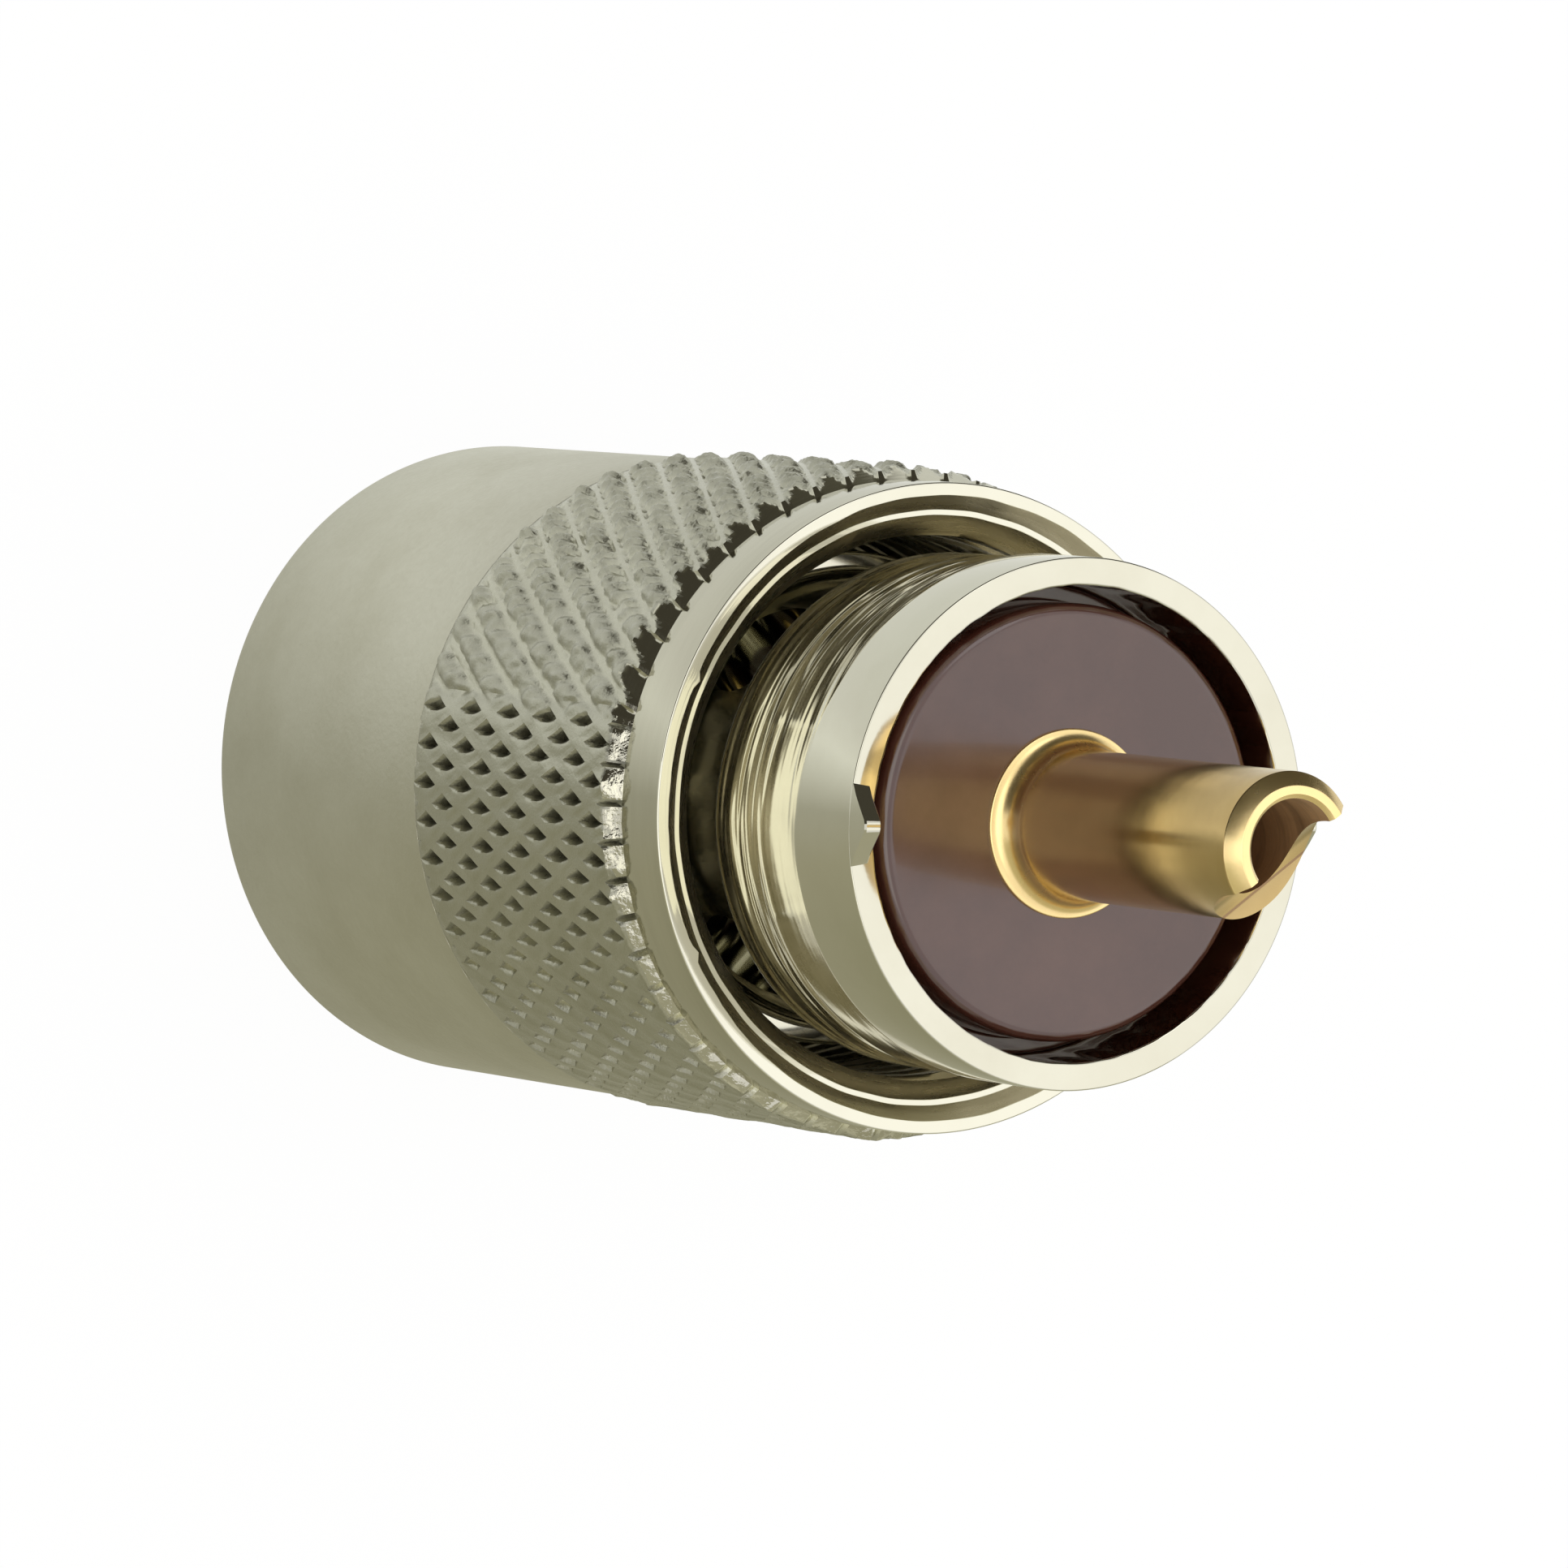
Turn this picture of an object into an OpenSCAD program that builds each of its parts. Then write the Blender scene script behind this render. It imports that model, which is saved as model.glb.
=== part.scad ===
// Coaxial plug with a sliding coupling ring, standing on its cable end.
// +Z runs along the axis to the tip of the contact pin, +X points at one locating tooth,
// and the origin is the centre of the rear face. All sizes are in millimetres.

/* [Plug body] */
// Length of the body from its rear face to the rim of the barrel
body_len = 31.5; // [30.5:0.1:34]
// Outer diameter of the front barrel
barrel_d = 14.2; // [14.05:0.05:14.4]
// Length of the front barrel
barrel_len = 7.1; // [6.6:0.1:7.8]
// Thickness of the barrel's wall round its mouth
barrel_wall = 0.75; // [0.6:0.05:1]
// Depth of the mouth, down to the ledge that the insulator sits on
mouth_depth = 6; // [5.4:0.1:6.4]
// Depth of the neck behind the barrel
neck_step = 1; // [0.7:0.05:1.3]
// Length of the neck
neck_len = 4.9; // [4.2:0.1:5.6]
// How far the retaining band behind the neck lies below the barrel
retain_step = 0.3; // [0.25:0.05:0.45]
// Length of the retaining band
retain_len = 4; // [3:0.1:5]
// How far the rear sleeve lies below the retaining band
rear_step = 0.3; // [0.2:0.05:0.6]
// Diameter of the bore behind the insulator, which takes the cable's braid
braid_bore_d = 8; // [7:0.1:9]
// Thickness of the rear sleeve round the cable entry
entry_wall = 1.2; // [0.9:0.05:1.6]
// Depth of the cable entry
entry_depth = 12; // [9:0.5:14]
// Diameter of each solder hole in the neck
solder_hole_d = 3.2; // [2:0.1:3.6]
// Number of solder holes
solder_holes = 4; // [2:1:4]

/* [Locating teeth] */
// Number of teeth on the rim of the barrel
teeth = 2; // [2:1:4]
// Width of a tooth at the rim
tooth_w = 2.2; // [1.6:0.1:3]
// Width of a tooth at its blunt crest
tooth_crest_w = 0.25; // [0.1:0.05:0.6]
// Height of a tooth above the rim
tooth_h = 0.8; // [0.5:0.05:1.2]
// Radial thickness of a tooth
tooth_t = 0.52; // [0.3:0.02:0.6]

/* [Insulator] */
// Gap between the insulator's front boss and the barrel
boss_gap = 0.5; // [0.3:0.05:0.9]
// Depth of the insulator's face below the rim of the barrel
face_depth = 0.45; // [0.2:0.05:1.2]
// Thickness of the insulator's wide base
base_len = 3.2; // [2.4:0.1:3.8]
// Radius of the rounded edge of the boss
boss_edge_r = 0.4; // [0.2:0.05:0.8]

/* [Contact pin] */
// Outer diameter of the contact pin
pin_d = 4; // [3.8:0.05:4.2]
// Reach of the pin beyond the rim of the barrel
pin_reach = 10.45; // [9:0.05:12]
// Bore of the hollow pin, where the inner conductor is soldered
pin_bore_d = 2.6; // [2:0.1:2.9]
// How far the flange at the foot of the pin stands out
flange_step = 0.53; // [0.4:0.01:0.8]
// Thickness of the flange's rim
flange_rim = 0.1; // [0.05:0.05:0.5]
// Length over which the flange sweeps up to the pin
flange_sweep = 0.8; // [0.4:0.05:1.2]
// Length of the bevel round the pin's end
tip_bevel = 0.36; // [0.2:0.02:0.6]
// Radius of the round cutter that opened the side of the tip
tip_cutter_r = 3; // [2.4:0.1:3.6]
// Direction of the opening, measured from +X
tip_cut_angle = -55; // [-180:5:180]
// How far the pin's shank inside the insulator lies below the pin
shank_step = 0.15; // [0.05:0.05:0.35]
// Length of the pin's tail behind the insulator
tail_len = 2; // [1:0.1:5]
// How far the swaged collar that holds the pin from behind stands out
swage_step = 0.75; // [0.5:0.05:1]

/* [Coupling ring] */
// Length of the coupling ring
ring_len = 24.5; // [24:0.1:26]
// Thickness of the plain skirt's wall
skirt_wall = 1.35; // [1:0.05:1.5]
// Gap between the skirt's bore and the body's retaining band
skirt_gap = 0.9; // [0.7:0.05:1]
// Thickness of the plain front collar, outside the thread
collar_wall = 0.9; // [0.75:0.05:1.05]
// Length of the plain front collar
collar_len = 1.85; // [1.2:0.05:2.6]
// How far the crests of the knurl stand above the collar
knurl_rise = 0.46; // [0.42:0.02:0.6]
// Depth of the diamonds pressed between the crests
knurl_depth = 0.42; // [0.3:0.02:0.42]
// Length of the knurled band, with its bevelled front edge
knurl_len = 11.15; // [9.5:0.05:11.5]
// Number of crests counted once round the ring
knurl_count = 54; // [44:1:56]
// Angle of the crests to the ring's axis
knurl_angle = 30; // [25:1:35]
// Width of the bevel at the front edge of the knurl
knurl_bevel = 0.42; // [0.3:0.02:0.6]
// Gap between the barrel and the coupling thread that passes over it
thread_gap = 0.275; // [0.2:0.025:0.35]
// Depth of the coupling thread
thread_depth = 0.565; // [0.5:0.005:0.6]
// Depth of the ring's front cavity, down to its inner lip
cavity_len = 13; // [12:0.1:14]
// Length of the inner lip
lip_len = 3; // [2:0.1:4]
// Width of the bright rim on the ring's front face
ring_rim = 0.24; // [0.15:0.01:0.4]

/* [Hidden] */
$fn = 96;

// Clearances and small breaks
lip_gap = 0.1;
edge_break = 0.2;
rim_break = 0.06;
neck_fillet = 0.3;
sink = 0.4;
arc_steps = 6;

// Body
body_r = barrel_d / 2;
mouth_d = barrel_d - 2 * barrel_wall;
neck_d = barrel_d - 2 * neck_step;
retain_d = barrel_d - 2 * retain_step;
rear_d = retain_d - 2 * rear_step;
entry_d = rear_d - 2 * entry_wall;
barrel_z = body_len - barrel_len;
neck_z = barrel_z - neck_len;
retain_z = neck_z - retain_len;
ledge_z = body_len - mouth_depth;
entry_lead = 0.5;

// Insulator
boss_d = mouth_d - 2 * boss_gap;
face_z = body_len - face_depth;
base_z = ledge_z + base_len;

// Pin
pin_r = pin_d / 2;
shank_r = pin_r - shank_step;
flange_r = pin_r + flange_step;
swage_r = shank_r + swage_step;
tip_z = body_len + pin_reach;
tip_bore_bevel = 0.12;
tip_cutter_z = tip_z - 0.15;
tip_cut_offset = 0.05;

// Ring
thread_minor_d = barrel_d + 2 * thread_gap;
thread_major_d = thread_minor_d + 2 * thread_depth;
collar_d = thread_major_d + 2 * collar_wall;
mouth_face_d = collar_d - 2 * ring_rim;
skirt_bore_d = retain_d + 2 * skirt_gap;
skirt_d = skirt_bore_d + 2 * skirt_wall;
lip_r = retain_d / 2 + lip_gap;
lip_front_z = ring_len - cavity_len;
lip_rear_z = lip_front_z - lip_len;
collar_r = collar_d / 2;
knurl_front_z = ring_len - collar_len;
knurl_rear_z = knurl_front_z - knurl_len;
knurl_crest_r = collar_r + knurl_rise;
knurl_root_r = knurl_crest_r - knurl_depth;
core_gap = 0.05;
knurl_core_r = min(knurl_root_r, collar_r) - core_gap;
foot_step = 0.02;
relief_len = 2;
relief_d = thread_major_d + 0.12;
step_depth = 0.38;
step_d = thread_major_d + 0.56;

// Points on an arc round (x, y), from angle a to angle b, where t stretches it along y
function arc(x, y, r, a, b, n = arc_steps, t = 1) =
    [for (i = [0:n]) [x + r * cos(a + (b - a) * i / n), y + t * r * sin(a + (b - a) * i / n)]];

// Outside of the turned body, from the rear face to the rim
function body_outline() = concat(
    [[rear_d / 2 - edge_break, 0], [rear_d / 2, edge_break]],
    [[rear_d / 2, retain_z]],
    [[retain_d / 2 - edge_break, retain_z], [retain_d / 2, retain_z + edge_break]],
    [[retain_d / 2, neck_z - edge_break], [retain_d / 2 - edge_break, neck_z]],
    arc(neck_d / 2 + neck_fillet, neck_z + neck_fillet, neck_fillet, 270, 180),
    arc(neck_d / 2 + neck_fillet, barrel_z - neck_fillet, neck_fillet, 180, 90),
    [[body_r - edge_break / 2, barrel_z], [body_r, barrel_z + edge_break / 2]],
    [[body_r, body_len - rim_break], [body_r - rim_break, body_len]]
);

// Inside of the turned body, from the rim back to the rear face
function body_bore() = [
    [mouth_d / 2 + rim_break, body_len],
    [mouth_d / 2, body_len - rim_break],
    [mouth_d / 2, ledge_z],
    [braid_bore_d / 2, ledge_z],
    [braid_bore_d / 2, entry_depth],
    [entry_d / 2, entry_depth],
    [entry_d / 2, entry_lead],
    [entry_d / 2 + entry_lead, 0]
];

// One locating tooth, a blunt wedge that grows out of the rim on the +X side
module locating_tooth() {
    intersection() {
        difference() {
            translate([0, 0, body_len - sink]) cylinder(r = body_r, h = sink + tooth_h);
            translate([0, 0, body_len - 2 * sink]) cylinder(r = body_r - tooth_t, h = 3 * sink + tooth_h);
        }
        translate([body_r / 2, 0, body_len])
            rotate([90, 0, 90])
                linear_extrude(height = body_r)
                    polygon([
                        [-tooth_w / 2, -sink], [tooth_w / 2, -sink],
                        [tooth_w / 2, 0], [tooth_crest_w / 2, tooth_h],
                        [-tooth_crest_w / 2, tooth_h], [-tooth_w / 2, 0]
                    ]);
    }
}

module plug_body() {
    color([0.72, 0.71, 0.62]) {
        difference() {
            rotate_extrude() polygon(concat(body_outline(), body_bore()));
            for (i = [0:solder_holes - 1])
                rotate([0, 0, (i + 0.5) * 360 / solder_holes])
                    translate([0, 0, (barrel_z + neck_z) / 2])
                        rotate([0, 90, 0])
                            cylinder(d = solder_hole_d, h = body_r);
        }
        for (i = [0:teeth - 1])
            rotate([0, 0, i * 360 / teeth]) locating_tooth();
    }
}

module insulator() {
    color([0.36, 0.24, 0.2])
        rotate_extrude()
            polygon(concat(
                [[shank_r, ledge_z], [mouth_d / 2, ledge_z], [mouth_d / 2, base_z - edge_break]],
                [[mouth_d / 2 - edge_break, base_z], [boss_d / 2, base_z]],
                arc(boss_d / 2 - boss_edge_r, face_z - boss_edge_r, boss_edge_r, 0, 90),
                [[shank_r, face_z]]
            ));
}

// Outside of the pin, from its tail to its bevelled end
function pin_outline() = concat(
    [[shank_r - edge_break, ledge_z - tail_len], [shank_r, ledge_z - tail_len + edge_break]],
    [[shank_r, ledge_z - 2 * edge_break], [swage_r, ledge_z - edge_break], [swage_r, ledge_z]],
    [[shank_r, ledge_z], [shank_r, face_z], [flange_r, face_z]],
    arc(flange_r, face_z + flange_rim + flange_sweep, flange_step, 270, 180, t = flange_sweep / flange_step),
    [[pin_r, tip_z - tip_bevel], [pin_r - tip_bevel, tip_z]]
);

module center_pin() {
    color([0.83, 0.66, 0.33])
        difference() {
            rotate_extrude()
                polygon(concat(
                    pin_outline(),
                    [[pin_bore_d / 2 + tip_bore_bevel, tip_z], [pin_bore_d / 2, tip_z - tip_bore_bevel]],
                    [[pin_bore_d / 2, ledge_z - tail_len]]
                ));
            rotate([0, 0, tip_cut_angle])
                translate([tip_cutter_r + tip_cut_offset, 0, tip_cutter_z])
                    rotate([90, 0, 0])
                        cylinder(r = tip_cutter_r, h = 2 * pin_d, center = true);
        }
}

// Diamond knurl: crests cross at every other point of a grid wrapped round the ring,
// and the points between them are sunk to the root, so that each grid square is two facets
knurl_cols = 2 * knurl_count;
knurl_row_pitch = PI * knurl_crest_r / knurl_count / tan(knurl_angle);
knurl_body_len = knurl_len - knurl_bevel;
knurl_rows = round(knurl_body_len / knurl_row_pitch);

function knurl_r(i, j) = (i + j) % 2 == 0 ? knurl_crest_r : knurl_root_r;
function ring_point(r, j, z) = [r * cos(360 * j / knurl_cols), r * sin(360 * j / knurl_cols), z];
function ring_row(r, z) = [for (j = [0:knurl_cols - 1]) ring_point(r, j, z)];
function knurl_row(i) =
    [for (j = [0:knurl_cols - 1])
        ring_point(knurl_r(i, j), j, knurl_rear_z + knurl_body_len * i / knurl_rows)];

// Facets between rows i and i + 1, split along the crests
function knurl_cell(i, j) =
    let (
        k = (j + 1) % knurl_cols,
        a = i * knurl_cols + j,
        b = i * knurl_cols + k,
        c = (i + 1) * knurl_cols + k,
        d = (i + 1) * knurl_cols + j
    )
    (i + j) % 2 == 0 ? [[a, c, b], [a, d, c]] : [[a, d, b], [b, d, c]];

module knurl_sleeve() {
    bore_r = knurl_core_r - sink;
    foot_r = collar_r / cos(180 / knurl_cols) + foot_step;
    rows = concat(
        [for (i = [0:knurl_rows]) knurl_row(i)],
        [ring_row(foot_r, knurl_front_z)],
        [ring_row(bore_r, knurl_front_z)],
        [ring_row(bore_r, knurl_rear_z)]
    );
    last = len(rows) - 1;
    polyhedron(
        points = [for (row = rows) each row],
        faces = concat(
            [for (i = [0:last - 1]) for (j = [0:knurl_cols - 1]) each knurl_cell(i, j)],
            [for (j = [0:knurl_cols - 1])
                let (k = (j + 1) % knurl_cols)
                each [
                    [last * knurl_cols + j, j, k],
                    [last * knurl_cols + j, k, last * knurl_cols + k]
                ]]
        ),
        convexity = 6
    );
}

// Outside of the ring without its knurl, from the rear face to the front
function ring_outline() = concat(
    [[skirt_d / 2 - edge_break, 0]],
    arc(skirt_d / 2 - edge_break, edge_break, edge_break, 270, 360, 3),
    [[skirt_d / 2, knurl_rear_z], [knurl_core_r, knurl_rear_z]],
    [[knurl_core_r, knurl_front_z - knurl_bevel], [collar_r, knurl_front_z - knurl_bevel]],
    [[collar_r, ring_len - rim_break], [collar_r - rim_break, ring_len]]
);

// Inside of the ring, from the front back to the rear face
function ring_bore() = [
    [mouth_face_d / 2, ring_len],
    [step_d / 2, ring_len - step_depth],
    [thread_major_d / 2, ring_len - step_depth],
    [thread_minor_d / 2, ring_len - step_depth - (thread_major_d - thread_minor_d) / 2],
    [thread_minor_d / 2, lip_front_z + relief_len],
    [relief_d / 2, lip_front_z + relief_len],
    [relief_d / 2, lip_front_z],
    [lip_r + edge_break, lip_front_z],
    [lip_r, lip_front_z - edge_break],
    [lip_r, lip_rear_z + edge_break],
    [lip_r + edge_break, lip_rear_z],
    [skirt_bore_d / 2, lip_rear_z],
    [skirt_bore_d / 2, edge_break],
    [skirt_bore_d / 2 + edge_break, 0]
];

module coupling_ring() {
    color([0.66, 0.66, 0.57]) {
        rotate_extrude() polygon(concat(ring_outline(), ring_bore()));
        knurl_sleeve();
    }
}

plug_body();
insulator();
center_pin();
coupling_ring();
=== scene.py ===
"""Looks of a coaxial cable plug with a knurled coupling ring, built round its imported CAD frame.

Every length is in millimetres until a mesh is made, and a mesh is in metres, in the CAD's own frame:
+Z runs along the axis to the tip of the contact pin, and the plug stands on its cable end at z = 0.
"""

import logging
import math
from collections.abc import Callable, Mapping, Sequence
from dataclasses import dataclass
from enum import Enum

import bmesh
import bpy
import numpy as np
from mathutils import Matrix, Vector

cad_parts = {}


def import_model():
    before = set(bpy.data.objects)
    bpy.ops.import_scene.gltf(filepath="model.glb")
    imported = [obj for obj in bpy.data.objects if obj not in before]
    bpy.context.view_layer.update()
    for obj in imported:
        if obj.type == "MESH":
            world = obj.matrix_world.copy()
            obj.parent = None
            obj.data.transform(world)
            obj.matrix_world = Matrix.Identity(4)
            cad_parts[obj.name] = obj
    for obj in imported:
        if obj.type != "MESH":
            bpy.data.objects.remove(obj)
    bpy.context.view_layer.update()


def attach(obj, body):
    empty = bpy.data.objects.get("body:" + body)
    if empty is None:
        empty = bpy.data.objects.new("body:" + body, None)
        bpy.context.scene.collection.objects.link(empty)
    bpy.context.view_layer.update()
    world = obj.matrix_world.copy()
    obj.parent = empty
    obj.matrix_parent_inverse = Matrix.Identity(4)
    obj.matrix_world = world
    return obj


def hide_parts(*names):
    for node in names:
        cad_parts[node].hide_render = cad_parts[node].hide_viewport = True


MM = 0.001
SHARP_ANGLE = math.radians(34)
SHADE = "shade"
COAT_ROUGHNESS = 0.06
LEAST_ROUGHNESS = 0.02
EVEN_STRETCH, TURNED_STRETCH = (1, 1, 1), (1, 1, 9)
STAIN_CLOUD = {"Scale": 210, "Detail": 6, "Roughness": 0.62}
STAIN_START, STAIN_END = 0.42, 0.72
GRAIN_DETAIL = 4

log = logging.getLogger("plug_looks")

Point2 = tuple[float, float]
Point3 = tuple[float, float, float]
Color = tuple[float, float, float]
Swell = Callable[[np.ndarray, np.ndarray, np.ndarray], np.ndarray]


def seeded_wave(seed: int, terms: int, lowest: int, highest: int) -> Callable[[np.ndarray], np.ndarray]:
    """Makes a smooth irregular wave round a circle, the same on every run.

    Args:
        seed: Number that picks the wave.
        terms: How many sines are summed.
        lowest: Fewest bumps round the circle.
        highest: Most bumps round the circle.

    Returns:
        A function from angle in radians to a height between about -1 and 1.
    """
    rng = np.random.default_rng(seed)
    counts = rng.integers(lowest, highest + 1, terms)
    phases = rng.uniform(0, 2 * math.pi, terms)
    weights = rng.uniform(0.4, 1.0, terms)
    weights /= weights.sum()

    def wave(angle: np.ndarray) -> np.ndarray:
        """Height of the wave at each angle."""
        return sum(w * np.sin(c * angle + p) for w, c, p in zip(weights, counts, phases)) * 1.6

    return wave


def eased(share: np.ndarray) -> np.ndarray:
    """Clips a share to 0 and 1 and levels it off at both ends."""
    share = np.clip(share, 0, 1)
    return share * share * (3 - 2 * share)


def folded(share: np.ndarray) -> np.ndarray:
    """How far a share from 0 to 1 lies from the nearer end, from 0 to 1."""
    return np.minimum(share, 1 - share) * 2


def off_by(angle: np.ndarray, middle: float) -> np.ndarray:
    """How many degrees angles in radians lie past a middle in degrees, from -180 to 180."""
    return np.mod(np.degrees(angle) - middle + 180, 360) - 180


def linked(name: str, data: bpy.types.ID) -> bpy.types.Object:
    """Makes an object round its data and links it to the scene."""
    made = bpy.data.objects.new(name, data)
    bpy.context.scene.collection.objects.link(made)
    return made


@dataclass(frozen=True)
class Corner:
    """One corner of a turned outline, with the radius that breaks it."""

    r: float
    z: float
    edge: float = 0.0


def rounded(corners: Sequence[Corner], steps: int = 3) -> list[Point2]:
    """Rounds the corners of a closed outline.

    Args:
        corners: The outline in order.
        steps: How many short lines stand for each rounded corner.

    Returns:
        The outline's points, as (radius, height).
    """
    points: list[Point2] = []
    count = len(corners)
    for index, corner in enumerate(corners):
        here = Vector((corner.r, corner.z))
        if corner.edge <= 0:
            points.append((here.x, here.y))
            continue
        before = Vector((corners[index - 1].r, corners[index - 1].z)) - here
        after = Vector((corners[(index + 1) % count].r, corners[(index + 1) % count].z)) - here
        half = before.angle(after) / 2
        reach = min(corner.edge / math.tan(half), 0.45 * before.length, 0.45 * after.length)
        start = here + before.normalized() * reach
        end = here + after.normalized() * reach
        for step in range(steps + 1):
            t = step / steps
            p = start * (1 - t) ** 2 + here * 2 * t * (1 - t) + end * t**2
            points.append((p.x, p.y))
    return points


def wall(r: float, start: float, end: float, step: float) -> list[Corner]:
    """Cuts a straight wall of an outline into even steps.

    Args:
        r: Radius of the wall.
        start: Height of its first point.
        end: Height of its last point.
        step: Longest step.

    Returns:
        The points from start to end.
    """
    count = max(1, math.ceil(abs(end - start) / step))
    return [Corner(r, start + (end - start) * k / count) for k in range(count + 1)]


@dataclass(frozen=True)
class Thread:
    """A helical thread on a turned wall, cut outwards or inwards from the wall's radius."""

    bottom: float
    top: float
    pitch: float
    depth: float
    outwards: bool
    run_out: float = 0.6
    slope: float = 2.6

    def swell(self, angle: np.ndarray, r: np.ndarray, z: np.ndarray) -> np.ndarray:
        """Change of radius that the thread makes at each point of its wall.

        Args:
            angle: Angles round the axis, in radians.
            r: Radii of the plain wall; not used.
            z: Heights.

        Returns:
            The change of radius, zero off the thread.
        """
        turn = np.mod((z - self.bottom) / self.pitch - angle / (2 * math.pi), 1.0)
        flank = np.clip((0.5 - np.abs(turn - 0.5)) * self.slope - 0.5, 0, 1)
        fade = np.clip((z - self.bottom) / self.run_out, 0, 1) * np.clip((self.top - z) / self.run_out, 0, 1)
        return flank * fade * self.depth * (1 if self.outwards else -1)


class MeshDraft:
    """Points and faces gathered for one object, in millimetres."""

    def __init__(self) -> None:
        """Starts with nothing."""
        self.points: list[Point3] = []
        self.faces: list[tuple[int, ...]] = []

    def turned(self, outline: Sequence[Point2], segments: int, swell: Swell | None = None) -> None:
        """Adds a closed outline turned about the axis.

        Args:
            outline: Closed outline as (radius, height).
            segments: Sides round the axis.
            swell: Change of radius by angle, radius and height.
        """
        first = len(self.points)
        angles = np.arange(segments) * 2 * math.pi / segments
        r = np.array([p[0] for p in outline])[:, None] * np.ones(segments)[None, :]
        z = np.array([p[1] for p in outline])[:, None] * np.ones(segments)[None, :]
        a = np.ones(len(outline))[:, None] * angles[None, :]
        if swell is not None:
            r = r + swell(a, r, z)
        xyz = np.stack([r * np.cos(a), r * np.sin(a), z], axis=-1).reshape(-1, 3)
        self.points.extend(map(tuple, xyz.tolist()))
        rows = len(outline)
        for i in range(rows):
            low, high = first + i * segments, first + (i + 1) % rows * segments
            for j in range(segments):
                m = (j + 1) % segments
                self.faces.append((low + j, low + m, high + m, high + j))

    def grid(self, xyz: np.ndarray, along_rows: np.ndarray) -> None:
        """Adds a closed band of points, row by row round the axis, as triangles.

        Args:
            xyz: Points in an array of rows by columns by 3, which closes on itself both ways.
            along_rows: For each square, True where it is cut from its first corner to the opposite one.
        """
        first = len(self.points)
        rows, columns = xyz.shape[:2]
        self.points.extend(map(tuple, xyz.reshape(-1, 3).tolist()))
        for i in range(rows):
            k = (i + 1) % rows
            for j in range(columns):
                m = (j + 1) % columns
                a, b = first + i * columns + j, first + i * columns + m
                c, d = first + k * columns + m, first + k * columns + j
                if along_rows[i, j]:
                    self.faces.extend([(a, b, c), (a, c, d)])
                else:
                    self.faces.extend([(a, b, d), (b, c, d)])

    def prism(self, sections: Sequence[Sequence[Point3]]) -> None:
        """Adds a solid from matching sections, closed at both ends.

        Args:
            sections: Rings of points, the same number in each.
        """
        first = len(self.points)
        width = len(sections[0])
        for section in sections:
            self.points.extend(section)
        for i in range(len(sections) - 1):
            for j in range(width):
                m = (j + 1) % width
                low, high = first + i * width, first + (i + 1) * width
                self.faces.append((low + j, low + m, high + m, high + j))
        last = first + (len(sections) - 1) * width
        self.faces.append(tuple(first + j for j in reversed(range(width))))
        self.faces.append(tuple(last + j for j in range(width)))

    def made(self, name: str) -> bpy.types.Object:
        """Makes the object, with smooth faces and sharp edges.

        Args:
            name: Name of the object.

        Returns:
            The new object, linked to the scene.
        """
        mesh = bpy.data.meshes.new(name)
        mesh.from_pydata([(x * MM, y * MM, z * MM) for x, y, z in self.points], [], self.faces)
        piece = linked(name, mesh)
        sharpen(piece)
        return piece


def sharpen(piece: bpy.types.Object) -> None:
    """Turns a piece's faces outwards, smooths them and marks its sharp edges."""
    draft = bmesh.new()
    draft.from_mesh(piece.data)
    bmesh.ops.recalc_face_normals(draft, faces=draft.faces)
    for face in draft.faces:
        face.smooth = True
    for edge in draft.edges:
        edge.smooth = len(edge.link_faces) == 2 and edge.calc_face_angle() < SHARP_ANGLE
    draft.to_mesh(piece.data)
    draft.free()


def cut_away(piece: bpy.types.Object, cutters: Sequence[bpy.types.Object]) -> None:
    """Cuts solids out of a piece and deletes the cutters.

    Args:
        piece: The piece that is cut.
        cutters: Closed solids to take away from it.
    """
    for cutter in cutters:
        cut = piece.modifiers.new("cut", "BOOLEAN")
        cut.operation = "DIFFERENCE"
        cut.solver = "EXACT"
        cut.object = cutter
    bpy.context.view_layer.update()
    graph = bpy.context.evaluated_depsgraph_get()
    mesh = bpy.data.meshes.new_from_object(piece.evaluated_get(graph))
    piece.modifiers.clear()
    piece.data = mesh
    for cutter in cutters:
        bpy.data.objects.remove(cutter, do_unlink=True)
    sharpen(piece)


def round_cutter(radius: float, length: float, place: Matrix) -> bpy.types.Object:
    """Makes a round bar that cuts a hole or a saddle.

    Args:
        radius: Radius of the bar.
        length: Length of the bar, centred on its place.
        place: Turn and place of the bar, which runs along its own Z, in millimetres.

    Returns:
        The cutter.
    """
    draft = MeshDraft()
    sides = 160
    ends = []
    for z in (-length / 2, length / 2):
        ring = []
        for k in range(sides):
            angle = 2 * math.pi * k / sides
            spot = place @ Vector((radius * math.cos(angle), radius * math.sin(angle), z))
            ring.append((spot.x, spot.y, spot.z))
        ends.append(ring)
    draft.prism(ends)
    return draft.made("cutter")


class Grain(Enum):
    """How a finish's fine marks lie on the surface."""

    EVEN = "even"
    TURNED = "turned"
    PEBBLED = "pebbled"


def added(nodes: bpy.types.Nodes, kind: str, values: Mapping[str, float | tuple[float, ...]]) -> bpy.types.Node:
    """Adds a node to a material and sets some of its inputs.

    Args:
        nodes: Nodes of the material.
        kind: Type of the node.
        values: The inputs' values by name.

    Returns:
        The node.
    """
    node = nodes.new(kind)
    for name, value in values.items():
        node.inputs[name].default_value = value
    return node


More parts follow.
